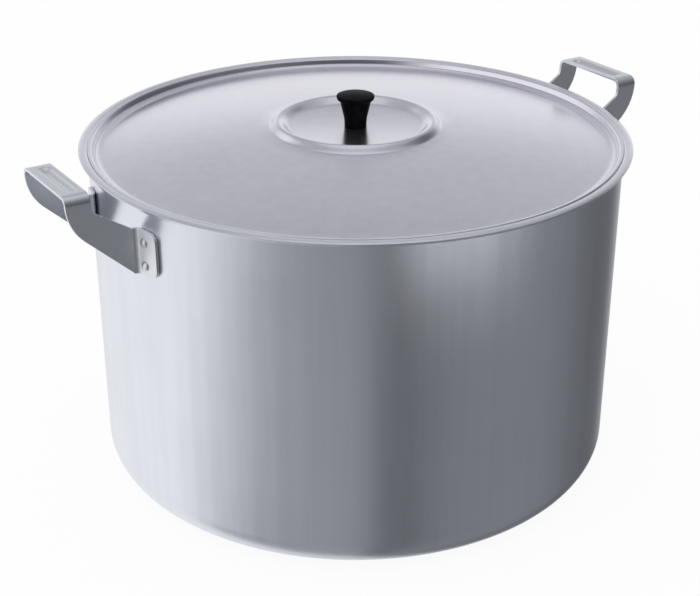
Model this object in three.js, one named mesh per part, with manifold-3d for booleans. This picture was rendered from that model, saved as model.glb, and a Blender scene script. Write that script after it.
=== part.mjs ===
import * as THREE from 'three';
import { mergeVertices } from 'three/addons/utils/BufferGeometryUtils.js';
import Module from 'manifold-3d';

// A large spun aluminium cooking pot with a loose lid and two riveted strap handles.
// Millimetres, +Z up. The origin is the centre of the base, and the handles lie on +X and -X.

const wasm = await Module();
wasm.setup();

// Pot body, one drawn sheet with its rim turned out into a lip
const potInnerRadius = 215;
const potHeight = 282;
const potWall = 2.5;
const potCornerRadius = 27;
const lipReach = 6.1;
const lipSlope = THREE.MathUtils.degToRad(20);
const lipBendRadius = 3;

// Lid, one pressed sheet: a flange on the lip, a plug in the bore, a dome, a bead and a flat plate
const lidSheet = 1.2;
const lidSeatGap = 0.2;
const lidPlugClearance = 2.1;
const lidOverlap = 3;
const lidCrestLean = 2.4;
const lidCrestBend = 1.4;
const lidShoulderDrop = 4;
const lidShoulderBend = 0.9;
const lidLedgeWidth = 1.6;
const lidLedgeDrop = 0.3;
const lidStepWidth = 2.1;
const lidStepDrop = 2.9;
const lidTroughBend = 5;
const lidPlateRise = 7.75;
const beadInnerRadius = 53.4;
const beadCrestRadius = 63.85;
const beadOuterRadius = 71.2;
const beadHeight = 5.5;

// Knob, moulded round a threaded insert and held by a screw from under the lid
const knobBaseRadius = 9.1;
const knobStemHeight = 5;
const knobStemBend = 24;
const knobNeckRadius = 12.2;
const knobConeHeight = 13.6;
const knobCapRadius = 15.6;
const knobCapHeight = 6.5;
const knobCapUnderBend = 1.8;
const knobCapTopBend = 2.6;
const knobCrown = 1.3;
const knobSeatGap = 0.2;
const insertWall = 1.6;
const insertLength = 11;
const insertGrooveDepth = 0.5;
const insertGrooveWidth = 2;
const insertGap = 0.2;
const screwRadius = 2.5;
const screwGrip = 8;
const screwHeadRadius = 4.7;
const screwHeadHeight = 2.8;
const screwHeadFaceRadius = 3.5;
const screwHeadRim = 1.1;
const screwSlotWidth = 1.2;
const screwSlotDepth = 1.3;
const screwClearance = 0.3;
const washerRadius = 8;
const washerThickness = 1.2;
const washerGap = 0.2;

// Handles, each a flat strap folded into a grip, two legs and two tabs on the wall
const strapThickness = 2.5;
const gripLength = 80;
const gripWidth = 19.2;
const gripRise = 13;
const gripBend = 4.5;
const handleReach = 52.2;
const kneeDrop = 23.8;
const kneeFillet = 40;
const elbowInset = 0.6;
const elbowDrop = 14.8;
const elbowFillet = 7;
const grooveWidth = 11;
const grooveLength = 58;
const grooveDepth = 2.2;
const grooveInset = 8.2;
const footBend = 4;
const tabLength = 21.2;
const tabHeight = 36;
const tabDrop = 21.7;
const tabCornerRadius = 7;
const tabGap = 0.3;

// Rivets, two in each tab, with a domed head outside and a flatter one inside
const rivetRadius = 2;
const rivetHeadRadius = 3.3;
const rivetHeadHeight = 1.9;
const rivetTailHeight = 1.3;
const rivetTailFaceRadius = 2.3;
const rivetTailRim = 0.5;
const rivetSpacing = 18.6;
const rivetInset = 12.7;
const rivetClearance = 0.3;
const rivetSeatGap = 0.3;

// Fineness of the round shapes
const bodySegments = 60;
const knobSegments = 28;
const smallSegments = 20;
const rivetSegments = 10;
const grooveSegments = 20;
const cornerSteps = 5;
const lipSteps = 3;
const beadSteps = 3;
const domeSteps = 5;
const lidBendSteps = 2;
const knobBendSteps = 3;
const strapBendSteps = 4;
const kneeSteps = 6;
const weldDistance = 1e-4;

// Values worked out from the sizes above
const wallRadius = potInnerRadius + potWall;
const wallMiddle = potInnerRadius + potWall / 2;
const lipEdgeRadius = wallRadius + lipReach - potWall / 2;
const lipEdgeHeight = potHeight - potWall / 2;
const lipMiddleAt = (radius) => lipEdgeHeight - (lipEdgeRadius - radius) * Math.tan(lipSlope);

const lidEdgeRadius = potInnerRadius + lidOverlap - lidSheet / 2;
const lidShoulderRadius = potInnerRadius - lidPlugClearance - lidSheet / 2;
const lidCrestRadius = lidShoulderRadius + lidCrestLean;
const lidRiseOffLip = (potWall / 2 + lidSeatGap + lidSheet / 2) / Math.cos(lipSlope);
const lidFlangeAt = (radius) => lipMiddleAt(radius) + lidRiseOffLip;
const lidPlateHeight = lidFlangeAt(lidCrestRadius) + lidPlateRise;
const lidPlateTop = lidPlateHeight + lidSheet / 2;
const lidPlateUnder = lidPlateHeight - lidSheet / 2;
const screwHoleRadius = screwRadius + screwClearance;

const gripTop = potHeight + gripRise;
const gripOuterX = wallRadius + handleReach;
const gripInnerX = gripOuterX - gripWidth;
const tabTop = potHeight - tabDrop;
const tabBottom = tabTop - tabHeight;
const tabInnerRadius = wallRadius + tabGap;
const tabMiddleRadius = tabInnerRadius + strapThickness / 2;
const tabOuterRadius = tabInnerRadius + strapThickness;
const tabEndAngle = (gripLength / 2 + tabLength) / tabOuterRadius;
const rivetAngle = (gripLength / 2 + tabLength - rivetInset) / tabOuterRadius;
const rivetRowMiddle = (tabTop + tabBottom) / 2;
const rivetHeights = [rivetRowMiddle + rivetSpacing / 2, rivetRowMiddle - rivetSpacing / 2];

// Points along an arc of the circle round centre, from one angle to another
function arcPoints(centre, radius, fromAngle, toAngle, steps) {
  return Array.from({ length: steps + 1 }, (_, i) => {
    const angle = THREE.MathUtils.lerp(fromAngle, toAngle, i / steps);
    return new THREE.Vector2(Math.cos(angle), Math.sin(angle)).multiplyScalar(radius).add(centre);
  });
}

// A line through corners [x, y, bend radius, steps], with an arc in place of each corner that has a bend
function bentLine(corners) {
  const places = corners.map(([x, y]) => new THREE.Vector2(x, y));
  return places.flatMap((corner, i) => {
    const [bend, steps] = corners[i].slice(2);
    if (!bend) return [corner];
    const back = places[i - 1].clone().sub(corner).normalize();
    const onward = places[i + 1].clone().sub(corner).normalize();
    const halfAngle = Math.acos(THREE.MathUtils.clamp(back.dot(onward), -1, 1)) / 2;
    const inward = back.clone().add(onward).normalize();
    const centre = corner.clone().addScaledVector(inward, bend / Math.sin(halfAngle));
    const start = corner.clone().addScaledVector(back, bend / Math.tan(halfAngle)).sub(centre);
    const turn = Math.PI - 2 * halfAngle;
    const sense = Math.sign(onward.cross(back));
    return arcPoints(centre, bend, start.angle(), start.angle() + sense * turn, steps);
  });
}

// The outline of a sheet of even thickness that follows a middle line, far edge rounded if asked
function sheetOutline(middle, thickness, edgeSteps) {
  const last = middle.length - 1;
  const headings = middle.slice(1).map((point, i) => point.clone().sub(middle[i]).normalize());
  const sides = middle.map((point, i) => {
    const into = headings[Math.max(i - 1, 0)];
    const outOf = headings[Math.min(i, last - 1)];
    const heading = into.clone().add(outOf).normalize();
    const reach = thickness / 2 / heading.dot(into);
    const across = new THREE.Vector2(heading.y, -heading.x).multiplyScalar(reach);
    return { right: point.clone().add(across), left: point.clone().sub(across) };
  });
  const endAngle = headings[last - 1].angle();
  const quarter = Math.PI / 2;
  const round = edgeSteps
    ? arcPoints(middle[last], thickness / 2, endAngle - quarter, endAngle + quarter, edgeSteps).slice(1, -1)
    : [];
  return [...sides.map((side) => side.right), ...round, ...sides.map((side) => side.left).reverse()];
}

// A turned shape from an outline of [radius, height] that runs anticlockwise, about the Z axis
function turned(outline, segments) {
  return new THREE.LatheGeometry(outline, segments).rotateX(Math.PI / 2);
}

function closedOutline(outline) {
  return [...outline, outline[0]];
}

// An outline in two named directions, drawn out by length in the third and centred there
const directions = {
  plan: [new THREE.Vector3(1, 0, 0), new THREE.Vector3(0, 1, 0), new THREE.Vector3(0, 0, 1)],
  side: [new THREE.Vector3(1, 0, 0), new THREE.Vector3(0, 0, 1), new THREE.Vector3(0, -1, 0)],
  front: [new THREE.Vector3(0, 1, 0), new THREE.Vector3(0, 0, 1), new THREE.Vector3(1, 0, 0)],
};

function drawnOut(outline, view, length, middle) {
  const shape = new THREE.Shape(outline);
  const geometry = new THREE.ExtrudeGeometry(shape, { depth: length, bevelEnabled: false });
  geometry.translate(0, 0, -length / 2);
  geometry.applyMatrix4(new THREE.Matrix4().makeBasis(...directions[view]));
  return geometry.translate(middle.x, middle.y, middle.z);
}

// Closed mesh to solid and back
function solidFrom(geometry) {
  const bare = geometry.clone();
  bare.deleteAttribute('normal');
  bare.deleteAttribute('uv');
  const merged = mergeVertices(bare, weldDistance);
  const corners = merged.index.array;
  const kept = [];
  for (let i = 0; i < corners.length; i += 3) {
    const [a, b, c] = corners.slice(i, i + 3);
    if (a !== b && b !== c && c !== a) kept.push(a, b, c);
  }
  return new wasm.Manifold(new wasm.Mesh({
    numProp: 3,
    vertProperties: Float32Array.from(merged.attributes.position.array),
    triVerts: Uint32Array.from(kept),
  }));
}

function geometryFrom(solid) {
  const mesh = solid.getMesh();
  const geometry = new THREE.BufferGeometry();
  geometry.setAttribute('position', new THREE.BufferAttribute(mesh.vertProperties, 3));
  geometry.setIndex(new THREE.BufferAttribute(mesh.triVerts, 1));
  geometry.computeVertexNormals();
  return geometry;
}

// Pot body: bottom, rounded corner, straight wall and lip in one sheet, drilled for the rivets
function potBodyGeometry() {
  const middle = bentLine([
    [0, potWall / 2],
    [wallMiddle, potWall / 2, potCornerRadius - potWall / 2, cornerSteps],
    [wallMiddle, lipMiddleAt(wallMiddle), lipBendRadius, lipSteps],
    [lipEdgeRadius, lipEdgeHeight],
  ]);
  let body = solidFrom(turned(sheetOutline(middle, potWall, lipSteps), bodySegments));
  rivetPlaces().forEach((place) => {
    [0, Math.PI].forEach((handleAngle) => {
      const hole = rivetHole(place).applyMatrix4(new THREE.Matrix4().makeRotationZ(handleAngle));
      body = body.subtract(solidFrom(hole));
    });
  });
  return geometryFrom(body);
}

// Lid: the middle line of its sheet, from the screw hole out to the flange's edge
function lidGeometry() {
  const bead = [];
  for (let i = 1; i <= beadSteps; i += 1) {
    const share = i / beadSteps;
    const rise = beadHeight * (1 - Math.cos(Math.PI * share)) / 2;
    bead.push([THREE.MathUtils.lerp(beadInnerRadius, beadCrestRadius, share), lidPlateHeight + rise]);
  }
  for (let i = 1; i <= beadSteps; i += 1) {
    const share = i / beadSteps;
    const rise = beadHeight * (1 + Math.cos(Math.PI * share)) / 2;
    bead.push([THREE.MathUtils.lerp(beadCrestRadius, beadOuterRadius, share), lidPlateHeight + rise]);
  }

  const shoulderHeight = lidFlangeAt(lidCrestRadius) - lidShoulderDrop;
  const ledgeRadius = lidShoulderRadius - lidLedgeWidth;
  const ledgeHeight = shoulderHeight - lidLedgeDrop;
  const troughRadius = ledgeRadius - lidStepWidth;
  const troughHeight = ledgeHeight - lidStepDrop;
  const domeDrop = lidPlateHeight - troughHeight;
  const domeSpan = troughRadius ** 2 - beadOuterRadius ** 2;
  const dome = [];
  for (let i = 1; i < domeSteps; i += 1) {
    const radius = THREE.MathUtils.lerp(beadOuterRadius, troughRadius, i / domeSteps);
    dome.push([radius, lidPlateHeight - domeDrop * (radius ** 2 - beadOuterRadius ** 2) / domeSpan]);
  }

  const middle = bentLine([
    [screwHoleRadius, lidPlateHeight],
    [beadInnerRadius, lidPlateHeight],
    ...bead,
    ...dome,
    [troughRadius, troughHeight, lidTroughBend, lidBendSteps],
    [ledgeRadius, ledgeHeight, lidShoulderBend, 1],
    [lidShoulderRadius, shoulderHeight, lidShoulderBend, 1],
    [lidCrestRadius, lidFlangeAt(lidCrestRadius), lidCrestBend, lidBendSteps],
    [lidEdgeRadius, lidFlangeAt(lidEdgeRadius)],
  ]);
  return turned(closedOutline(sheetOutline(middle, lidSheet, lidBendSteps)), bodySegments);
}

// Knob: stem, cone and capped head, hollow below for the insert
function knobGeometry() {
  const boreRadius = screwHoleRadius + insertWall + insertGap;
  const neckHeight = knobStemHeight + knobConeHeight;
  const capHeight = neckHeight + knobCapHeight;
  const outline = [
    new THREE.Vector2(0, insertLength + insertGap),
    new THREE.Vector2(boreRadius, insertLength + insertGap),
    new THREE.Vector2(boreRadius, 0),
    ...bentLine([
      [knobBaseRadius, 0],
      [knobBaseRadius, knobStemHeight, knobStemBend, knobBendSteps],
      [knobNeckRadius, neckHeight],
      [knobCapRadius, neckHeight, knobCapUnderBend, knobBendSteps],
      [knobCapRadius, capHeight, knobCapTopBend, knobBendSteps],
      [0, capHeight + knobCrown],
    ]),
  ];
  return turned(outline, knobSegments).translate(0, 0, lidPlateTop + knobSeatGap);
}

// Threaded insert: a bush with a groove round it that keys it into the knob
function insertGeometry() {
  const radius = screwHoleRadius + insertWall;
  const grooveRadius = radius - insertGrooveDepth;
  const grooveLow = (insertLength - insertGrooveWidth) / 2;
  const grooveHigh = grooveLow + insertGrooveWidth;
  const outline = closedOutline([
    new THREE.Vector2(screwHoleRadius, 0),
    new THREE.Vector2(radius, 0),
    new THREE.Vector2(radius, grooveLow),
    new THREE.Vector2(grooveRadius, grooveLow),
    new THREE.Vector2(grooveRadius, grooveHigh),
    new THREE.Vector2(radius, grooveHigh),
    new THREE.Vector2(radius, insertLength),
    new THREE.Vector2(screwHoleRadius, insertLength),
  ]);
  return turned(outline, smallSegments).translate(0, 0, lidPlateTop + knobSeatGap);
}

const washerTop = lidPlateUnder - washerGap;
const screwSeat = washerTop - washerThickness - washerGap;

function washerGeometry() {
  const outline = closedOutline([
    new THREE.Vector2(screwHoleRadius, 0),
    new THREE.Vector2(washerRadius, 0),
    new THREE.Vector2(washerRadius, washerThickness),
    new THREE.Vector2(screwHoleRadius, washerThickness),
  ]);
  return turned(outline, smallSegments).translate(0, 0, washerTop - washerThickness);
}

// Screw: slotted pan head below the washer, shank up through the lid into the insert
function screwGeometry() {
  const shankTop = lidPlateTop + knobSeatGap + screwGrip;
  const headBottom = screwSeat - screwHeadHeight;
  const outline = [
    new THREE.Vector2(0, headBottom),
    new THREE.Vector2(screwHeadFaceRadius, headBottom),
    new THREE.Vector2(screwHeadRadius, screwSeat - screwHeadRim),
    new THREE.Vector2(screwHeadRadius, screwSeat),
    new THREE.Vector2(screwRadius, screwSeat),
    new THREE.Vector2(screwRadius, shankTop),
    new THREE.Vector2(0, shankTop),
  ];
  const slot = new THREE.BoxGeometry(screwHeadRadius * 3, screwSlotWidth, screwSlotDepth * 2);
  slot.translate(0, 0, headBottom);
  return geometryFrom(solidFrom(turned(outline, smallSegments)).subtract(solidFrom(slot)));
}

// Where the rivets of the +X handle lie: turned about Z by angle, at height
function rivetPlaces() {
  return [-1, 1].flatMap((side) => rivetHeights.map((height) => ({ angle: side * rivetAngle, height })));
}

// From a shape along Z to one along the wall's radius at a rivet's place
function toRivetPlace({ angle, height }) {
  const lieDown = new THREE.Matrix4().makeRotationY(Math.PI / 2);
  const lift = new THREE.Matrix4().makeTranslation(0, 0, height);
  return new THREE.Matrix4().makeRotationZ(angle).multiply(lift).multiply(lieDown);
}

function rivetHole(place) {
  const reach = 4 * (potWall + strapThickness);
  const hole = new THREE.CylinderGeometry(
    rivetRadius + rivetClearance, rivetRadius + rivetClearance, reach, rivetSegments);
  hole.rotateX(Math.PI / 2).translate(0, 0, wallRadius);
  return hole.applyMatrix4(toRivetPlace(place));
}

// Rivet: tail head against the inside of the faceted wall, shank, domed head on the tab
function rivetGeometry(place) {
  const wallInside = potInnerRadius * Math.cos(Math.PI / bodySegments) - rivetSeatGap;
  const headSeat = tabOuterRadius + rivetSeatGap;
  const domeShape = new THREE.Vector2(rivetHeadRadius, rivetHeadHeight);
  const dome = arcPoints(new THREE.Vector2(), 1, 0, Math.PI / 2, knobBendSteps)
    .map((point) => point.multiply(domeShape).add(new THREE.Vector2(0, headSeat)));
  dome[dome.length - 1].x = 0;
  const outline = [
    new THREE.Vector2(0, wallInside - rivetTailHeight),
    new THREE.Vector2(rivetTailFaceRadius, wallInside - rivetTailHeight),
    new THREE.Vector2(rivetHeadRadius, wallInside - rivetTailRim),
    new THREE.Vector2(rivetHeadRadius, wallInside),
    new THREE.Vector2(rivetRadius, wallInside),
    new THREE.Vector2(rivetRadius, headSeat),
    ...dome,
  ];
  return turned(outline, rivetSegments).applyMatrix4(toRivetPlace(place));
}

// Handle on +X: folded strap trimmed by its side and front outlines, grooved on top and drilled
function handleGeometry() {
  const legMiddle = (gripLength - strapThickness) / 2;
  const gripMiddleX = (gripOuterX + gripInnerX) / 2;
  const spare = 3 * strapThickness;
  const bendMiddle = strapThickness / 2;

  const foldLine = bentLine([
    [-legMiddle, tabBottom - spare],
    [-legMiddle, gripTop - bendMiddle, gripBend + bendMiddle, strapBendSteps],
    [legMiddle, gripTop - bendMiddle, gripBend + bendMiddle, strapBendSteps],
    [legMiddle, tabBottom - spare],
  ]);
  const legStartX = tabOuterRadius + footBend + strapThickness;
  const foldLength = gripOuterX + spare - legStartX;
  const foldMiddle = new THREE.Vector3(legStartX + foldLength / 2, 0, 0);
  let strap = solidFrom(drawnOut(sheetOutline(foldLine, strapThickness), 'front', foldLength, foldMiddle));

  const footAngle = Math.asin(legMiddle / tabMiddleRadius);
  const overrunAngle = tabEndAngle + strapThickness / tabMiddleRadius;
  const onWall = arcPoints(new THREE.Vector2(), tabMiddleRadius, footAngle, overrunAngle, strapBendSteps);
  const footLine = bentLine([
    [gripMiddleX, legMiddle],
    [onWall[0].x, onWall[0].y, footBend + bendMiddle, strapBendSteps],
    ...onWall.slice(1).map((point) => [point.x, point.y]),
  ]);
  const footHeight = tabHeight + 4 * spare;
  const footMiddle = new THREE.Vector3(0, 0, (tabTop + tabBottom) / 2);
  const footOutline = sheetOutline(footLine, strapThickness);
  const otherFoot = footOutline.map((point) => new THREE.Vector2(point.x, -point.y)).reverse();
  [footOutline, otherFoot].forEach((outline) => {
    strap = strap.add(solidFrom(drawnOut(outline, 'plan', footHeight, footMiddle)));
  });

  const kneeHeight = gripTop - kneeDrop;
  const insideX = potInnerRadius * Math.cos(tabEndAngle) - spare;
  const sideOutline = bentLine([
    [gripOuterX, gripTop + spare],
    [gripOuterX, kneeHeight, kneeFillet, kneeSteps],
    [wallRadius, tabBottom],
    [insideX, tabBottom],
    [insideX, tabTop],
    [wallRadius, tabTop],
    [gripInnerX - elbowInset, gripTop - elbowDrop, elbowFillet, strapBendSteps],
    [gripInnerX, gripTop],
    [gripInnerX, gripTop + spare],
  ]);
  const tabEndY = tabOuterRadius * Math.sin(tabEndAngle);
  const tabWidth = 2 * tabEndY + spare;
  strap = strap.intersect(solidFrom(drawnOut(sideOutline, 'side', tabWidth, new THREE.Vector3())));

  const shoulderY = gripLength / 2 + footBend + strapThickness;
  const frontOutline = bentLine([
    [0, tabBottom],
    [tabEndY, tabBottom, tabCornerRadius, strapBendSteps],
    [tabEndY, tabTop, tabCornerRadius, strapBendSteps],
    [shoulderY, tabTop],
    [shoulderY, gripTop + spare],
    [-shoulderY, gripTop + spare],
    [-shoulderY, tabTop],
    [-tabEndY, tabTop, tabCornerRadius, strapBendSteps],
    [-tabEndY, tabBottom, tabCornerRadius, strapBendSteps],
    [0, tabBottom],
  ]).slice(0, -1);
  const frontLength = 2 * (gripOuterX - insideX + spare);
  const frontMiddle = new THREE.Vector3(gripOuterX, 0, 0);
  strap = strap.intersect(solidFrom(drawnOut(frontOutline, 'front', frontLength, frontMiddle)));

  const grooveRadius = (grooveWidth ** 2 / 4 + grooveDepth ** 2) / (2 * grooveDepth);
  const grooveMiddle = new THREE.Vector3(gripInnerX + grooveInset, 0, gripTop + grooveRadius - grooveDepth);
  const trough = (radius) => {
    const straight = grooveLength - grooveWidth;
    const capsule = new THREE.CapsuleGeometry(radius, straight, strapBendSteps, grooveSegments);
    return solidFrom(capsule.translate(grooveMiddle.x, grooveMiddle.y, grooveMiddle.z));
  };
  const belowGrip = new THREE.BoxGeometry(gripWidth, gripLength, gripWidth);
  belowGrip.translate(grooveMiddle.x, 0, gripTop - strapThickness / 2 - gripWidth / 2);
  const bulge = trough(grooveRadius + strapThickness).intersect(solidFrom(belowGrip));
  strap = strap.add(bulge).subtract(trough(grooveRadius));

  rivetPlaces().forEach((place) => {
    strap = strap.subtract(solidFrom(rivetHole(place)));
  });
  return geometryFrom(strap);
}

// Finishes
const spunAluminium = new THREE.MeshStandardMaterial({ color: 0xc9cad2, roughness: 0.34, metalness: 1 });
const lidAluminium = new THREE.MeshStandardMaterial({ color: 0xcfcfd8, roughness: 0.42, metalness: 1 });
const strapMetal = new THREE.MeshStandardMaterial({ color: 0xb9bac2, roughness: 0.25, metalness: 1 });
const rivetAluminium = new THREE.MeshStandardMaterial({ color: 0xc4c5cc, roughness: 0.4, metalness: 1 });
const blackPhenolic = new THREE.MeshStandardMaterial({ color: 0x17171a, roughness: 0.35, metalness: 0 });
const insertBrass = new THREE.MeshStandardMaterial({ color: 0xc2a25a, roughness: 0.4, metalness: 1 });
const screwSteel = new THREE.MeshStandardMaterial({ color: 0xaaacb2, roughness: 0.35, metalness: 1 });

function piece(name, geometry, material) {
  const mesh = new THREE.Mesh(geometry, material);
  mesh.name = name;
  return mesh;
}

const pot = new THREE.Group();
pot.add(piece('pot_body', potBodyGeometry(), spunAluminium));

const lid = new THREE.Group();
lid.add(piece('lid_panel', lidGeometry(), lidAluminium));
lid.add(piece('lid_knob', knobGeometry(), blackPhenolic));
lid.add(piece('knob_insert', insertGeometry(), insertBrass));
lid.add(piece('knob_screw', screwGeometry(), screwSteel));
lid.add(piece('knob_washer', washerGeometry(), screwSteel));
pot.add(lid);

[{ side: 'right', turn: 0 }, { side: 'left', turn: Math.PI }].forEach(({ side, turn }) => {
  const handle = new THREE.Group();
  handle.rotation.z = turn;
  handle.add(piece(`handle_${side}`, handleGeometry(), strapMetal));
  rivetPlaces().forEach((place) => {
    const end = Math.sin(place.angle + turn) < 0 ? 'front' : 'back';
    const level = place.height > rivetRowMiddle ? 'upper' : 'lower';
    handle.add(piece(`rivet_${side}_${end}_${level}`, rivetGeometry(place), rivetAluminium));
  });
  pot.add(handle);
});

export default pot;
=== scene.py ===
import math

import bmesh
import bpy
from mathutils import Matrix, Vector


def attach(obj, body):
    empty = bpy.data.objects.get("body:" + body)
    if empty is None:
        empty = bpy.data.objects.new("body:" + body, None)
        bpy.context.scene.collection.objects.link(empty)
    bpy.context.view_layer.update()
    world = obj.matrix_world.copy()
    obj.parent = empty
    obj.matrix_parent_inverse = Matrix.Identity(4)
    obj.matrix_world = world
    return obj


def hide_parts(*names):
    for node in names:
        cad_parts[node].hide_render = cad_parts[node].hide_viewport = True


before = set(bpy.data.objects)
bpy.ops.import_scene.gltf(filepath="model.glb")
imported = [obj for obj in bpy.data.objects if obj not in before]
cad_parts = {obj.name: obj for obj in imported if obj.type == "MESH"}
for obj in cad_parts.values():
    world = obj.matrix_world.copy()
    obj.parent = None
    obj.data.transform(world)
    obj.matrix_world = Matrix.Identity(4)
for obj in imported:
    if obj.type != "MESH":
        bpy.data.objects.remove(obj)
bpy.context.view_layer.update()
print("frame loaded,", len(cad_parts), "solids")

mm = 0.001
quarterTurn = math.pi / 2
fullTurn = 2 * math.pi


# Modelling helpers

def openPiece(name):  # names the primitive that was just added and opens it for editing
    piece = bpy.context.active_object
    piece.name = piece.data.name = name
    bpy.ops.object.mode_set(mode="EDIT")
    bpy.ops.mesh.select_mode(type="VERT")
    return piece


def pickVerts(piece, test):
    bpy.ops.mesh.select_all(action="DESELECT")
    cage = bmesh.from_edit_mesh(piece.data)
    for vert in cage.verts:
        vert.select_set(test(vert.co))
    cage.select_flush_mode()
    bmesh.update_edit_mesh(piece.data)


def drawProfile(name, corners, closed=False):  # corners: (across, up) or (across, up, set-back, steps) in mm
    bpy.ops.object.select_all(action="DESELECT")
    bpy.ops.mesh.primitive_plane_add(size=mm)
    piece = openPiece(name)
    bpy.ops.mesh.merge(type="CENTER")
    at = Vector()
    for i, corner in enumerate(corners):
        place = Vector((corner[0], 0, corner[1])) * mm
        if i == 0:
            bpy.ops.transform.translate(value=place)
        else:
            bpy.ops.mesh.extrude_vertices_move(TRANSFORM_OT_translate={"value": place - at})
        at = place
    if closed:
        ends = [Vector((corners[i][0], 0, corners[i][1])) * mm for i in (0, -1)]
        pickVerts(piece, lambda co: min((co - end).length for end in ends) < 0.01 * mm)
        bpy.ops.mesh.edge_face_add()
    for across, up, setBack, steps in [corner for corner in corners if len(corner) == 4]:
        place = Vector((across, 0, up)) * mm
        pickVerts(piece, lambda co: (co - place).length < 0.01 * mm)
        bpy.ops.mesh.bevel(offset=setBack * mm, segments=steps, affect="VERTICES")
    return piece


def spinProfile(steps, axis=(0, 0, 1)):  # turns the open profile once round and closes the seam and poles
    bpy.ops.mesh.select_all(action="SELECT")
    bpy.ops.mesh.spin(steps=steps, angle=fullTurn, center=(0, 0, 0), axis=axis)
    closeUp()


def closeUp():
    bpy.ops.mesh.select_all(action="SELECT")
    bpy.ops.mesh.remove_doubles(threshold=0.002 * mm)
    bpy.ops.mesh.normals_make_consistent(inside=False)
    bpy.ops.object.mode_set(mode="OBJECT")


def applyModifier(piece, kind, **settings):
    added = piece.modifiers.new(kind.title(), kind)
    for name, value in settings.items():
        setattr(added, name, value)
    bpy.ops.object.modifier_apply(modifier=added.name)


def roundEdges(piece, test, width, steps):  # rounds the edges whose ends all pass the test
    bpy.ops.object.mode_set(mode="EDIT")
    pickVerts(piece, test)
    bpy.ops.mesh.bevel(offset=width * mm, segments=steps, affect="EDGES")
    bpy.ops.object.mode_set(mode="OBJECT")


def thicken(piece, sheet, edgeRound, edgeSteps):  # a sheet of even thickness with rounded edges
    applyModifier(piece, "SOLIDIFY", thickness=sheet * mm, offset=0, use_even_offset=True)
    applyModifier(piece, "BEVEL", width=edgeRound * mm, segments=edgeSteps, limit_method="ANGLE",
                  angle_limit=math.radians(55))


def smooth(angle):
    bpy.ops.object.shade_smooth_by_angle(angle=math.radians(angle))


def copyTurned(piece, name, turn, rise=0):  # a copy with its own mesh, turned about the pot's axis
    bpy.ops.object.select_all(action="DESELECT")
    copied = piece.copy()
    copied.data = piece.data.copy()
    copied.name = copied.data.name = name
    bpy.context.scene.collection.objects.link(copied)
    copied.select_set(True)
    bpy.context.view_layer.objects.active = copied
    copied.rotation_euler.z = turn
    copied.location.z = rise * mm
    bpy.ops.object.transform_apply(location=True, rotation=True, scale=True)
    return copied


def fit(piece, body, node, finish):
    piece.data.materials.clear()
    piece.data.materials.append(finish)
    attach(piece, body)
    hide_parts(node)


def roundedPath(start, corner, end, radius, count):  # evenly spaced points on a line, an arc and a line
    start, corner, end = Vector(start), Vector(corner), Vector(end)
    back, onward = (start - corner).normalized(), (end - corner).normalized()
    half = back.angle(onward) / 2
    reach = radius / math.tan(half)
    centre = corner + (back + onward).normalized() * (radius / math.sin(half))
    bend = math.pi - 2 * half
    first, last = corner + back * reach, corner + onward * reach
    lengths = [(first - start).length, radius * bend, (end - last).length]
    found = []
    for i in range(count + 1):
        run = sum(lengths) * i / count
        if run <= lengths[0]:
            found.append(start.lerp(first, run / lengths[0]))
        elif run <= lengths[0] + lengths[1]:
            share = (run - lengths[0]) / lengths[1]
            found.append(centre + (first - centre).slerp(last - centre, share).normalized() * radius)
        else:
            found.append(last.lerp(end, (run - lengths[0] - lengths[1]) / lengths[2]))
    return found


# Shader maths

class Wire:
    def __init__(self, tree, socket=None):
        self.tree = tree
        self.socket = socket

    def node(self, kind, settings=None, sockets=None, out=0):
        made = self.tree.nodes.new(kind)
        for name, value in (settings or {}).items():
            if name == "stops":
                setStops(made.color_ramp, value)
            else:
                setattr(made, name, value)
        for name, value in (sockets or {}).items():
            if isinstance(value, Wire):
                self.tree.links.new(value.socket, made.inputs[name])
            else:
                socket = made.inputs[name]
                socket.default_value = (*value, 1.0) if socket.type == "RGBA" else value
        if isinstance(out, tuple):
            return [Wire(self.tree, made.outputs[name]) for name in out]
        return Wire(self.tree, made.outputs[out] if len(made.outputs) else None)

    def maths(self, operation, other=0.0, swap=False):
        pair = (other, self) if swap else (self, other)
        return self.node("ShaderNodeMath", {"operation": operation}, dict(enumerate(pair)))

    def __add__(self, other):
        return self.maths("ADD", other)

    def __sub__(self, other):
        return self.maths("SUBTRACT", other)

    def __mul__(self, other):
        return self.maths("MULTIPLY", other)

    def __truediv__(self, other):
        return self.maths("DIVIDE", other)

    def __rsub__(self, other):
        return self.maths("SUBTRACT", other, swap=True)

    __radd__ = __add__
    __rmul__ = __mul__


def setStops(ramp, stops):
    while len(ramp.elements) < len(stops):
        ramp.elements.new(1.0)
    for element, (place, colour) in zip(ramp.elements, stops):
        element.position = place
        element.color = (*colour, 1.0)


def mixColours(share, first, second):
    return share.node("ShaderNodeMix", {"data_type": "RGBA"}, {0: share, 6: first, 7: second}, out=2)


def between(value, low, high):  # 0 below low, 1 above high, smooth between
    sockets = {"Value": value, "From Min": low, "From Max": high}
    return value.node("ShaderNodeMapRange", {"interpolation_type": "SMOOTHSTEP"}, sockets)


def grain(start, vector, scale, detail, stretch=(1, 1, 1)):
    pulled = start.node("ShaderNodeVectorMath", {"operation": "MULTIPLY"}, {0: vector, 1: stretch})
    sockets = {"Vector": pulled, "Scale": scale, "Detail": detail, "Roughness": 0.6}
    return start.node("ShaderNodeTexNoise", {"noise_dimensions": "3D"}, sockets)


def lines(start, along, perMetre, detail):
    sockets = {"W": along, "Scale": perMetre, "Detail": detail, "Roughness": 0.7}
    return start.node("ShaderNodeTexNoise", {"noise_dimensions": "1D"}, sockets)


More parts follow.
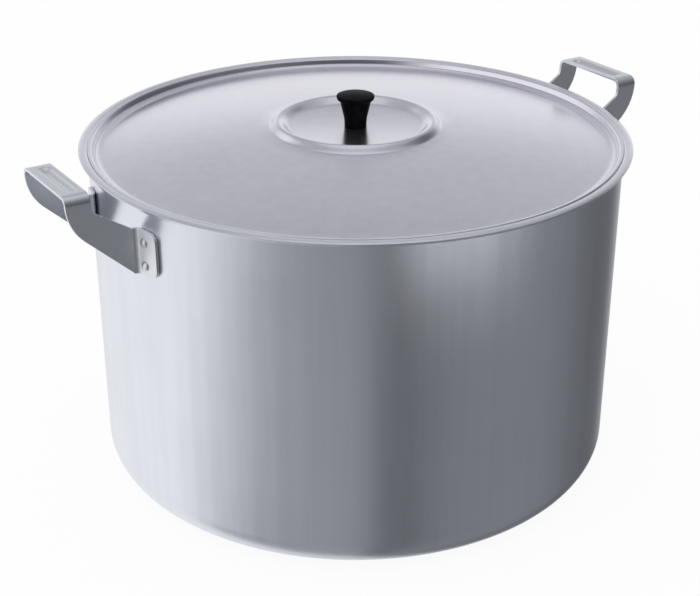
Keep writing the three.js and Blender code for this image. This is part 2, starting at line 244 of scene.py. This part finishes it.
def startFinish(name):
    finish = bpy.data.materials.new(name)
    finish.use_nodes = True
    finish.node_tree.nodes.clear()
    start = Wire(finish.node_tree)
    place = start.node("ShaderNodeTexCoord", out="Object")
    return finish, start, place


def closeFinish(start, **sockets):
    named = {name.replace("_", " "): value for name, value in sockets.items()}
    shader = start.node("ShaderNodeBsdfPrincipled", {}, named)
    start.node("ShaderNodeOutputMaterial", {}, {"Surface": shader})


def raised(start, height, depth, strength):
    return start.node("ShaderNodeBump", {}, {"Height": height, "Distance": depth * mm, "Strength": strength})


# Finishes

spunLook = {"bright": (0.80, 0.83, 0.876), "dull": (0.742, 0.752, 0.808), "rough": 0.31,
            "bandsPerMetre": 30, "brushing": 0.72, "lineDepth": 0.03,
            "lipTone": (0.785, 0.78, 0.845), "lipRise": (0.2785, 0.2800)}
lidLook = {"bright": (0.81, 0.795, 0.87), "dull": (0.755, 0.74, 0.81), "rough": 0.24,
           "bandsPerMetre": 43.33, "linesPerMetre": 1300, "brushing": 0.1, "lineDepth": 0.006}
spunGrain = {"cloudsPerMetre": 9, "streaksPerMetre": (100, 100, 3), "bump": 0.5}


def makeSpun(name, look, onLid):
    finish, start, place = startFinish(name)
    x, y, z = start.node("ShaderNodeSeparateXYZ", {}, {0: place}, out=(0, 1, 2))
    radius = (x * x + y * y).maths("SQRT")
    alongSheet = radius if onLid else radius - z
    bands = lines(start, alongSheet, look["bandsPerMetre"], 2)
    cloud = grain(start, place, spunGrain["cloudsPerMetre"], 3)
    streaks = grain(start, place, 1, 4, spunGrain["streaksPerMetre"])
    fine = lines(start, radius, look["linesPerMetre"], 4) if onLid else streaks
    tone = between(cloud, 0.35, 0.65) * 0.4 + bands * 0.2 + between(streaks, 0.36, 0.64) * 0.4
    colour = mixColours(tone, look["dull"], look["bright"])
    if not onLid:
        colour = mixColours(between(z, *look["lipRise"]), colour, look["lipTone"])
    rough = look["rough"] + (fine - 0.5) * 0.05 + (cloud - 0.5) * 0.05 + (streaks - 0.5) * 0.03
    closeFinish(start, Base_Color=colour, Metallic=1.0, Roughness=rough, Anisotropic=look["brushing"],
                Anisotropic_Rotation=0.25,
                Normal=raised(start, fine, look["lineDepth"], spunGrain["bump"]))
    return finish


strapLook = {"bright": (0.80, 0.81, 0.85), "dull": (0.73, 0.74, 0.785),
             "gripRough": 0.32, "tabRough": 0.38,
             "tabBend": (0.0408, 0.0428), "tabEnd": (0.0590, 0.0600), "tabPale": 0.55}


def makeStrap(name, look):
    finish, start, place = startFinish(name)
    fromMiddle = start.node("ShaderNodeSeparateXYZ", {}, {0: place}, out=1).maths("ABSOLUTE")
    onTab = between(fromMiddle, *look["tabBend"]) * (1 - between(fromMiddle, *look["tabEnd"]))
    cloud = grain(start, place, 60, 3)
    scuffs = grain(start, place, 300, 3, (1, 0.2, 1))
    colour = mixColours(cloud, look["dull"], look["bright"])
    rough = look["gripRough"] + onTab * (look["tabRough"] - look["gripRough"])
    rough = rough + (cloud - 0.5) * 0.10 + between(scuffs, 0.55, 0.75) * 0.06
    metal = 1 - onTab * look["tabPale"]  # the tabs are dulled, so they look paler
    closeFinish(start, Base_Color=colour, Metallic=metal, Roughness=rough,
                Normal=raised(start, scuffs, 0.004, 0.15))
    return finish


knobLook = {"black": (0.0022, 0.0022, 0.003), "worn": (0.006, 0.006, 0.0075), "rough": 0.30, "shine": 0.012}


def makeKnobBlack(name, look):
    finish, start, place = startFinish(name)
    cloud = grain(start, place, 140, 3)
    specks = grain(start, place, 1500, 2)
    colour = mixColours(between(cloud, 0.4, 0.8), look["black"], look["worn"])
    rough = look["rough"] + (cloud - 0.5) * 0.16 + (specks - 0.5) * 0.05
    closeFinish(start, Base_Color=colour, Roughness=rough, Specular_IOR_Level=look["shine"],
                Normal=raised(start, specks, 0.006, 0.2))
    return finish


fixingLooks = {
    "brass": {"bright": (0.80, 0.64, 0.33), "dull": (0.62, 0.47, 0.22), "rough": 0.32},
    "steel": {"bright": (0.62, 0.62, 0.63), "dull": (0.46, 0.46, 0.48), "rough": 0.30},
    "rivet": {"bright": (0.83, 0.83, 0.86), "dull": (0.70, 0.70, 0.74), "rough": 0.36},
}


def makeFixing(name, look):
    finish, start, place = startFinish(name)
    cloud = grain(start, place, 260, 3)
    colour = mixColours(cloud, look["dull"], look["bright"])
    rough = look["rough"] + (cloud - 0.5) * 0.2
    closeFinish(start, Base_Color=colour, Metallic=1.0, Roughness=rough,
                Normal=raised(start, grain(start, place, 900, 2), 0.008, 0.25))
    return finish


potMetal = makeSpun("spunPotMetal", spunLook, onLid=False)
lidMetal = makeSpun("pressedLidMetal", lidLook, onLid=True)
strapMetal = makeStrap("strapMetal", strapLook)
knobBlack = makeKnobBlack("knobBlack", knobLook)
insertBrass = makeFixing("insertBrass", fixingLooks["brass"])
screwSteel = makeFixing("screwSteel", fixingLooks["steel"])
rivetMetal = makeFixing("rivetMetal", fixingLooks["rivet"])
print("finishes made")


# Pot body: the middle line of its sheet, spun round and thickened

pot = {"wallRadius": 216.25, "floor": 1.25, "corner": 25.75, "lipFoot": 278.53, "lipBend": 2.1,
       "lipStep": (218.4, 279.31), "lipFlat": (219.15, 280.1), "lipDroop": (222.6, 280.15),
       "lipEdge": (224.1, 279.3), "sheet": 2.5, "edgeRound": 1.15, "turnSteps": 240}

potBody = drawProfile("pot_shell", [
    (0, pot["floor"]),
    (pot["wallRadius"], pot["floor"], pot["corner"], 14),
    (pot["wallRadius"], pot["lipFoot"], pot["lipBend"], 8),
    (*pot["lipStep"], 0.5, 3),
    (*pot["lipFlat"], 0.6, 4),
    (*pot["lipDroop"], 1.0, 4),
    pot["lipEdge"],
])
spinProfile(pot["turnSteps"])
thicken(potBody, pot["sheet"], pot["edgeRound"], 4)
smooth(40)
fit(potBody, "pot", "pot_body", potMetal)
print("pot body spun")


# Lid: plate, bead, dome, trough, shoulder and flange

lid = {"hole": 2.8, "plate": 287.9, "beadInner": 53.4, "beadCrest": 63.85, "beadOuter": 71.2,
       "beadHeight": 5.5, "beadSteps": 7, "domeSteps": 12,
       "trough": (208.6, 273.6), "ledge": (211.2, 275.7), "shoulder": (213.1, 275.9),
       "crest": (214.4, 280.5), "edge": (217.4, 280.98), "sheet": 1.2, "topRound": 1.08, "lowRound": 0.06,
       "topEdgeFrom": 216.9, "lowEdgeFrom": 217.4, "lowEdgeDrop": 0.5, "turnSteps": 240}


def beadCorners():
    steps = lid["beadSteps"]
    sides = ((lid["beadInner"], lid["beadCrest"], True), (lid["beadCrest"], lid["beadOuter"], False))
    found = []
    for low, high, rising in sides:
        for i in range(1, steps + 1):
            share = (1 - math.cos(math.pi * i / steps)) / 2
            found.append((low + (high - low) * i / steps,
                          lid["plate"] + lid["beadHeight"] * (share if rising else 1 - share)))
    return found


def domeCorners():
    steps = lid["domeSteps"]
    inner, outer = lid["beadOuter"], lid["trough"][0]
    drop = lid["plate"] - lid["trough"][1]
    radii = [inner + (outer - inner) * i / steps for i in range(1, steps)]
    spread = outer * outer - inner * inner
    return [(r, lid["plate"] - drop * (r * r - inner * inner) / spread) for r in radii]


lidPanel = drawProfile("lid_sheet", [
    (lid["hole"], lid["plate"]),
    (lid["beadInner"], lid["plate"]),
    *beadCorners(),
    *domeCorners(),
    (*lid["trough"], 3.2, 6),
    (*lid["ledge"], 0.6, 3),
    (*lid["shoulder"], 0.6, 4),
    (*lid["crest"], 1.2, 6),
    lid["edge"],
])
spinProfile(lid["turnSteps"])
applyModifier(lidPanel, "SOLIDIFY", thickness=lid["sheet"] * mm, offset=0, use_even_offset=True)
edgeHeight = lid["edge"][1]
roundEdges(lidPanel, lambda co: co.xy.length > lid["topEdgeFrom"] * mm and co.z > edgeHeight * mm,
           lid["topRound"], 5)
roundEdges(lidPanel, lambda co: co.xy.length > lid["lowEdgeFrom"] * mm
           and co.z < (edgeHeight - lid["lowEdgeDrop"]) * mm, lid["lowRound"], 1)
smooth(40)
fit(lidPanel, "lid", "lid_panel", lidMetal)
print("lid pressed")


# Knob with its insert, screw and washer, all turned about the pot's axis

knob = {"seat": 288.7, "base": 9.1, "stem": 5, "neck": 12.8, "neckUp": 20.9, "cap": 15.7, "capLow": 22.2,
        "capLean": 0.5, "capUp": 25.2, "crown": 26.4, "boreRadius": 4.6, "boreDepth": 11.2, "turnSteps": 96}

lidKnob = drawProfile("knob_grip", [
    (0, knob["seat"] + knob["boreDepth"]),
    (knob["boreRadius"], knob["seat"] + knob["boreDepth"]),
    (knob["boreRadius"], knob["seat"]),
    (knob["base"], knob["seat"], 0.5, 3),
    (knob["base"], knob["seat"] + knob["stem"], 3.0, 6),
    (knob["neck"], knob["seat"] + knob["neckUp"], 0.5, 3),
    (knob["cap"] - knob["capLean"], knob["seat"] + knob["capLow"], 0.7, 4),
    (knob["cap"], knob["seat"] + knob["capUp"], 1.0, 6),
    (0, knob["seat"] + knob["crown"]),
])
spinProfile(knob["turnSteps"])
smooth(45)
fit(lidKnob, "lid", "lid_knob", knobBlack)

insert = {"bore": 2.8, "radius": 4.4, "length": 11, "keyDepth": 0.5, "keyLow": 4.5, "keyHigh": 6.5,
          "turnSteps": 48}

knobInsert = drawProfile("knob_bush", [
    (insert["bore"], knob["seat"], 0.3, 2),
    (insert["radius"], knob["seat"], 0.3, 2),
    (insert["radius"], knob["seat"] + insert["keyLow"]),
    (insert["radius"] - insert["keyDepth"], knob["seat"] + insert["keyLow"]),
    (insert["radius"] - insert["keyDepth"], knob["seat"] + insert["keyHigh"]),
    (insert["radius"], knob["seat"] + insert["keyHigh"]),
    (insert["radius"], knob["seat"] + insert["length"], 0.3, 2),
    (insert["bore"], knob["seat"] + insert["length"], 0.3, 2),
], closed=True)
spinProfile(insert["turnSteps"])
smooth(30)
fit(knobInsert, "lid", "knob_insert", insertBrass)

washer = {"bore": 2.8, "radius": 8, "low": 285.9, "high": 287.1, "turnSteps": 64}

knobWasher = drawProfile("knob_disc", [
    (washer["bore"], washer["low"], 0.2, 2),
    (washer["radius"], washer["low"], 0.35, 3),
    (washer["radius"], washer["high"], 0.35, 3),
    (washer["bore"], washer["high"], 0.2, 2),
], closed=True)
spinProfile(washer["turnSteps"])
smooth(30)
fit(knobWasher, "lid", "knob_washer", screwSteel)

screw = {"head": 4.7, "face": 3.5, "low": 282.9, "rim": 284.6, "seat": 285.7, "shank": 2.5, "top": 296.7,
         "slotWidth": 1.2, "slotDepth": 1.3, "turnSteps": 64}

knobScrew = drawProfile("knob_fixing_screw", [
    (0, screw["low"]),
    (screw["face"], screw["low"], 0.5, 3),
    (screw["head"], screw["rim"], 0.5, 4),
    (screw["head"], screw["seat"], 0.2, 2),
    (screw["shank"], screw["seat"]),
    (screw["shank"], screw["top"], 0.5, 2),
    (0, screw["top"]),
])
spinProfile(screw["turnSteps"])
bpy.ops.object.select_all(action="DESELECT")
bpy.ops.mesh.primitive_cube_add(size=1)
slotCutter = openPiece("slot_cutter")
bpy.ops.transform.resize(value=Vector((4 * screw["head"], screw["slotWidth"], 2 * screw["slotDepth"])) * mm)
bpy.ops.transform.translate(value=(0, 0, screw["low"] * mm))
bpy.ops.object.mode_set(mode="OBJECT")
bpy.ops.object.select_all(action="DESELECT")
knobScrew.select_set(True)
bpy.context.view_layer.objects.active = knobScrew
applyModifier(knobScrew, "BOOLEAN", object=slotCutter, operation="DIFFERENCE", solver="EXACT")
bpy.data.objects.remove(slotCutter)
smooth(30)
fit(knobScrew, "lid", "knob_screw", screwSteel)
print("knob turned and fixed")


# Handle: half of the strap's middle surface, drawn out from the grip to the tab's end, then mirrored

strap = {"sheet": 2.5, "gripInner": 250.5, "gripOuter": 269.7, "gripMiddle": 293.75, "gripFlat": 33.0,
         "gripBend": 5.75, "acrossSteps": 32, "gripSteps": 54, "bendSteps": 8,
         "grooveX": 258.6, "grooveHalf": 23.5, "grooveRadius": 5.5, "grooveDepth": 2.2,
         "elbow": (249.9, 280.2), "elbowRound": 7, "knee": (269.7, 271.2), "kneeRound": 40,
         "footX": 220.0, "footTop": 261.2, "footBottom": 225.0, "legSteps": 26,
         "footBend": 5.25, "footTurn": 79.8, "tabStart": 11.34, "tabEnd": 15.917, "tabCorner": 7,
         "tabRadius": 220.3, "tabHeight": 36, "tabMiddle": 242.3, "edgeRound": 0.5}


def stretchLeg(strapPiece):  # draws the strap's end edge down the leg, turning and widening it
    top = strap["gripMiddle"] - strap["gripBend"]
    upper = roundedPath((strap["gripInner"], top), strap["elbow"], (strap["footX"], strap["footTop"]),
                        strap["elbowRound"], strap["legSteps"])
    lower = roundedPath((strap["gripOuter"], top), strap["knee"], (strap["footX"], strap["footBottom"]),
                        strap["kneeRound"], strap["legSteps"])
    legY = strap["gripFlat"] + strap["gripBend"]
    for i in range(strap["legSteps"]):
        was, now = lower[i] - upper[i], lower[i + 1] - upper[i + 1]
        middle = (upper[i] + lower[i]) / 2
        step = (upper[i + 1] + lower[i + 1]) / 2 - middle
        pivot = Vector((middle.x, legY, middle.y)) * mm
        bpy.ops.mesh.extrude_edges_move(TRANSFORM_OT_translate={"value": (0, 0, 0)})
        bpy.ops.transform.rotate(value=now.angle_signed(was), orient_axis="Y", center_override=pivot)
        bpy.ops.transform.resize(value=(now.length / was.length,) * 3, center_override=pivot)
        bpy.ops.transform.translate(value=Vector((step.x, 0, step.y)) * mm)


def stretchTab():  # follows the wall's curve and draws the end in to round corners
    halfHeight = strap["tabHeight"] / 2
    cornerTurn = math.degrees(strap["tabCorner"] / strap["tabRadius"])
    straightEnd = strap["tabEnd"] - cornerTurn
    straight = straightEnd - strap["tabStart"]
    stations = [(strap["tabStart"] + straight * i / 5, halfHeight) for i in range(1, 6)]
    for i in range(1, 9):
        angle = quarterTurn * i / 8
        stations.append((straightEnd + cornerTurn * math.sin(angle),
                         halfHeight - strap["tabCorner"] * (1 - math.cos(angle))))
    turned, height = strap["tabStart"], (strap["footTop"] - strap["footBottom"]) / 2
    for turn, half in stations:
        bpy.ops.mesh.spin(steps=1, angle=math.radians(turned - turn), center=(0, 0, 0), axis=(0, 0, 1))
        bpy.ops.transform.resize(value=(1, 1, half / height), center_override=(0, 0, strap["tabMiddle"] * mm))
        turned, height = turn, half


bpy.ops.object.select_all(action="DESELECT")
bpy.ops.mesh.primitive_grid_add(x_subdivisions=strap["acrossSteps"], y_subdivisions=strap["gripSteps"],
                                size=1)
handleRight = openPiece("strap_right")
gripWidth = strap["gripOuter"] - strap["gripInner"]
bpy.ops.transform.resize(value=(gripWidth * mm, strap["gripFlat"] * mm, 1))
bpy.ops.transform.translate(value=Vector((strap["gripInner"] + gripWidth / 2, strap["gripFlat"] / 2,
                                          strap["gripMiddle"])) * mm)
cell = gripWidth / strap["acrossSteps"]
pickVerts(handleRight, lambda co: abs(co.x / mm - strap["grooveX"]) < cell / 2
          and co.y < strap["grooveHalf"] * mm)
bpy.ops.transform.translate(value=(0, 0, -strap["grooveDepth"] * mm), use_proportional_edit=True,
                            proportional_edit_falloff="INVERSE_SQUARE",
                            proportional_size=strap["grooveRadius"] * mm)
pickVerts(handleRight, lambda co: co.y > (strap["gripFlat"] - 0.01) * mm)
bpy.ops.mesh.spin(steps=strap["bendSteps"], angle=quarterTurn, axis=(1, 0, 0),
                  center=Vector((0, strap["gripFlat"], strap["gripMiddle"] - strap["gripBend"])) * mm)
stretchLeg(handleRight)
footY = strap["gripFlat"] + strap["gripBend"] + strap["footBend"]
bpy.ops.mesh.spin(steps=strap["bendSteps"], angle=math.radians(strap["footTurn"]), axis=(0, 0, 1),
                  center=Vector((strap["footX"], footY, 0)) * mm)
stretchTab()
bpy.ops.object.mode_set(mode="OBJECT")
applyModifier(handleRight, "MIRROR", use_axis=(False, True, False), use_clip=True, merge_threshold=0.01 * mm)
bpy.ops.object.mode_set(mode="EDIT")
closeUp()
thicken(handleRight, strap["sheet"], strap["edgeRound"], 3)
smooth(40)
handleLeft = copyTurned(handleRight, "strap_left", math.pi)
fit(handleRight, "pot", "handle_right", strapMetal)
fit(handleLeft, "pot", "handle_left", strapMetal)
print("handles folded")


# Rivet: one turned about the wall's radius, then set in each of its places

rivet = {"tailTop": 213.4, "tailFlat": 2.3, "tailRim": 214.35, "inside": 214.95, "outside": 220.36,
         "shank": 2.0, "head": 3.9, "headHeight": 2.1, "angle": 12.614, "upper": 251.6, "lower": 233.0,
         "turnSteps": 40, "domeSteps": 8}

domeLine = []
for i in range(rivet["domeSteps"] + 1):
    angle = quarterTurn * i / rivet["domeSteps"]
    domeLine.append((rivet["outside"] + rivet["headHeight"] * math.sin(angle),
                     rivet["head"] * math.cos(angle)))

rivetModel = drawProfile("rivet_model", [
    (rivet["tailTop"], 0),
    (rivet["tailTop"], rivet["tailFlat"], 0.5, 3),
    (rivet["tailRim"], rivet["head"], 0.3, 3),
    (rivet["inside"], rivet["head"]),
    (rivet["inside"], rivet["shank"]),
    (rivet["outside"], rivet["shank"]),
    *domeLine,
])
spinProfile(rivet["turnSteps"], axis=(1, 0, 0))
smooth(35)
for side, sideTurn in (("right", 0), ("left", math.pi)):
    for sign in (-1, 1):
        turn = sideTurn + sign * math.radians(rivet["angle"])
        end = "front" if math.sin(turn) < 0 else "back"
        for level in ("upper", "lower"):
            name = f"rivet_{side}_{end}_{level}"
            setRivet = copyTurned(rivetModel, name.replace("rivet", "rivet_set"), turn, rivet[level])
            fit(setRivet, "pot", name, rivetMetal)
bpy.data.objects.remove(rivetModel)
print("rivets set")


# Camera, floor, lamps and the studio that the metal mirrors

camera = {"place": (-0.6036, -0.9352, 0.6726), "aim": (-0.0038, 0.0024, 0.1308), "lens": 73.4, "sensor": 36.0}

bpy.ops.object.camera_add(location=camera["place"])
photoCamera = bpy.context.active_object
photoCamera.name = "photo_camera"
photoCamera.data.lens = camera["lens"]
photoCamera.data.sensor_width = camera["sensor"]
looking = Vector(camera["aim"]) - Vector(camera["place"])
photoCamera.rotation_euler = looking.to_track_quat("-Z", "Y").to_euler()
bpy.context.scene.camera = photoCamera

stage = {"floorSize": 12.0, "floorColour": (0.94, 0.94, 0.945), "backdrop": (1.0, 1.0, 1.0),
         "paperWhite": 0.92, "drop": 0.0004,
         "keyPlace": (-1.5, -0.6, 2.2), "keySize": 1.6, "keyPower": 9.0,
         "keyAim": (0, 0, 0.15), "stripRing": 0.783, "stripHeight": 0.288,
         "stripTurns": [(-100, 0.5), (-90, 0.8), (-80, 1.0), (-70, 1.0), (-60, 0.7)],
         "stripWide": 0.20, "stripTall": 0.10, "stripPower": 0.0095, "stripSpread": 16}

bpy.ops.object.select_all(action="DESELECT")
bpy.ops.mesh.primitive_plane_add(size=stage["floorSize"], location=(0, 0, -stage["drop"]))
studioFloor = bpy.context.active_object
studioFloor.name = "studio_floor"
studioFloor.visible_glossy = False
floorFinish, floorStart, _ = startFinish("floorWhite")
matt = floorStart.node("ShaderNodeBsdfDiffuse", {}, {"Color": stage["floorColour"]})
glow = floorStart.node("ShaderNodeEmission", {}, {"Color": stage["backdrop"], "Strength": 1.0})
fromCamera = floorStart.node("ShaderNodeLightPath", out="Is Camera Ray")
paper = floorStart.node("ShaderNodeMixShader", {}, {0: fromCamera * stage["paperWhite"], 1: matt, 2: glow})
floorStart.node("ShaderNodeOutputMaterial", {}, {"Surface": paper})
studioFloor.data.materials.append(floorFinish)

bpy.ops.object.light_add(type="AREA", location=stage["keyPlace"])
keyLamp = bpy.context.active_object
keyLamp.name = "key_lamp"
keyLamp.data.size = stage["keySize"]
keyLamp.data.energy = stage["keyPower"]
keyLooking = Vector(stage["keyAim"]) - Vector(stage["keyPlace"])
keyLamp.rotation_euler = keyLooking.to_track_quat("-Z", "Y").to_euler()
keyLamp.visible_glossy = False

for turn, share in stage["stripTurns"]:  # narrow lamps for the soft glow under the lip
    outward = Vector((math.cos(math.radians(turn)), math.sin(math.radians(turn)), 0))
    lampPlace = outward * stage["stripRing"] + Vector((0, 0, stage["stripHeight"]))
    bpy.ops.object.light_add(type="AREA", location=lampPlace)
    stripLamp = bpy.context.active_object
    stripLamp.name = "strip_lamp"
    stripLamp.data.shape = "RECTANGLE"
    stripLamp.data.size = stage["stripWide"]
    stripLamp.data.size_y = stage["stripTall"]
    stripLamp.data.energy = stage["stripPower"] * share
    stripLamp.data.spread = math.radians(stage["stripSpread"])
    stripLamp.rotation_euler = (-outward).to_track_quat("-Z", "Y").to_euler()
    stripLamp.visible_camera = False

# What the metal mirrors: a dim room, given by height and level, with a few soft cards round it. A card has
# its turn from the camera, half width and soft edge in degrees, its lowest and highest reach and its level
studio = {"toCamera": (-0.5388, -0.8424), "toRight": (0.8424, -0.5388), "white": (1.0, 1.0, 1.0),
          "ambient": 0.92, "edge": 0.24,
          "room": [(-1.0, 0.15), (-0.3, 0.15), (-0.1, 0.11), (0.6, 0.12), (0.75, 0.5), (0.85, 0.5),
                   (0.95, 0.76)]}

cards = {
    "rightFloor": {"turn": 70, "half": 10, "soft": 45, "low": -2.0, "high": -0.1, "level": 0.26},
    "frontFloor": {"turn": -35, "half": 30, "soft": 24, "low": -2.0, "high": -0.1, "level": 0.36},
    "leftFloor": {"turn": -115, "half": 37, "soft": 46, "low": -2.0, "high": -0.1, "level": 0.98},
    "tableEdge": {"turn": -55, "half": 15, "soft": 25, "low": -2.0, "high": -0.48, "level": 0.35},
    "backFloor": {"turn": 180, "half": 12, "soft": 22, "low": -2.0, "high": -0.1, "level": 0.9},
    "leftWall": {"turn": -88, "half": 42, "soft": 34, "low": -0.34, "high": 0.76, "level": 1.0},
    "backUpper": {"turn": 180, "half": 15, "soft": 45, "low": -0.34, "high": 0.80, "level": 0.58},
    "backWall": {"turn": 180, "half": 10, "soft": 34, "low": -0.34, "high": 0.42, "level": 0.98},
    "rightUpper": {"turn": 72, "half": 10, "soft": 45, "low": 0.21, "high": 0.76, "level": 0.25},
}


def dim(level):  # darker parts are a little bluer
    return (level * (0.89 + 0.095 * level), level * (0.925 + 0.065 * level), level)


world = bpy.data.worlds.new("studio")
bpy.context.scene.world = world
world.use_nodes = True
world.node_tree.nodes.clear()
world.cycles.sampling_method = "NONE"
sky = Wire(world.node_tree)
heading = sky.node("ShaderNodeTexCoord", out="Generated")
east, north, up = sky.node("ShaderNodeSeparateXYZ", {}, {0: heading}, out=(0, 1, 2))
toCamera = east * studio["toCamera"][0] + north * studio["toCamera"][1]
toRight = east * studio["toRight"][0] + north * studio["toRight"][1]
flat = (toCamera * toCamera + toRight * toRight).maths("SQRT")
roomStops = [(height / 2 + 0.5, dim(level)) for height, level in studio["room"]]
mirrored = sky.node("ShaderNodeValToRGB", {"stops": roomStops}, {0: up * 0.5 + 0.5})
for card in cards.values():
    turn, half = math.radians(card["turn"]), math.radians(card["half"])
    reach = half + math.radians(card["soft"])
    facing = (toCamera * math.cos(turn) + toRight * math.sin(turn)) / flat
    across = between(facing, math.cos(reach), math.cos(half))
    risen = between(up, card["low"], card["low"] + studio["edge"])
    ended = between(up, card["high"] - studio["edge"], card["high"])
    mirrored = mixColours(across * risen * (1 - ended), mirrored, dim(card["level"]))
glossy, transmitted, seen = sky.node(
    "ShaderNodeLightPath", out=("Is Glossy Ray", "Is Transmission Ray", "Is Camera Ray"))
mirroring = glossy.maths("MAXIMUM", transmitted)
shown = mixColours(mirroring, studio["white"], mirrored)
direct = mirroring.maths("MAXIMUM", seen)
strength = direct * (1 - studio["ambient"]) + studio["ambient"]
backdrop = sky.node("ShaderNodeBackground", {}, {"Color": shown, "Strength": strength})
sky.node("ShaderNodeOutputWorld", {}, {"Surface": backdrop})

bpy.context.scene.view_settings.view_transform = "Standard"
print("studio lit")
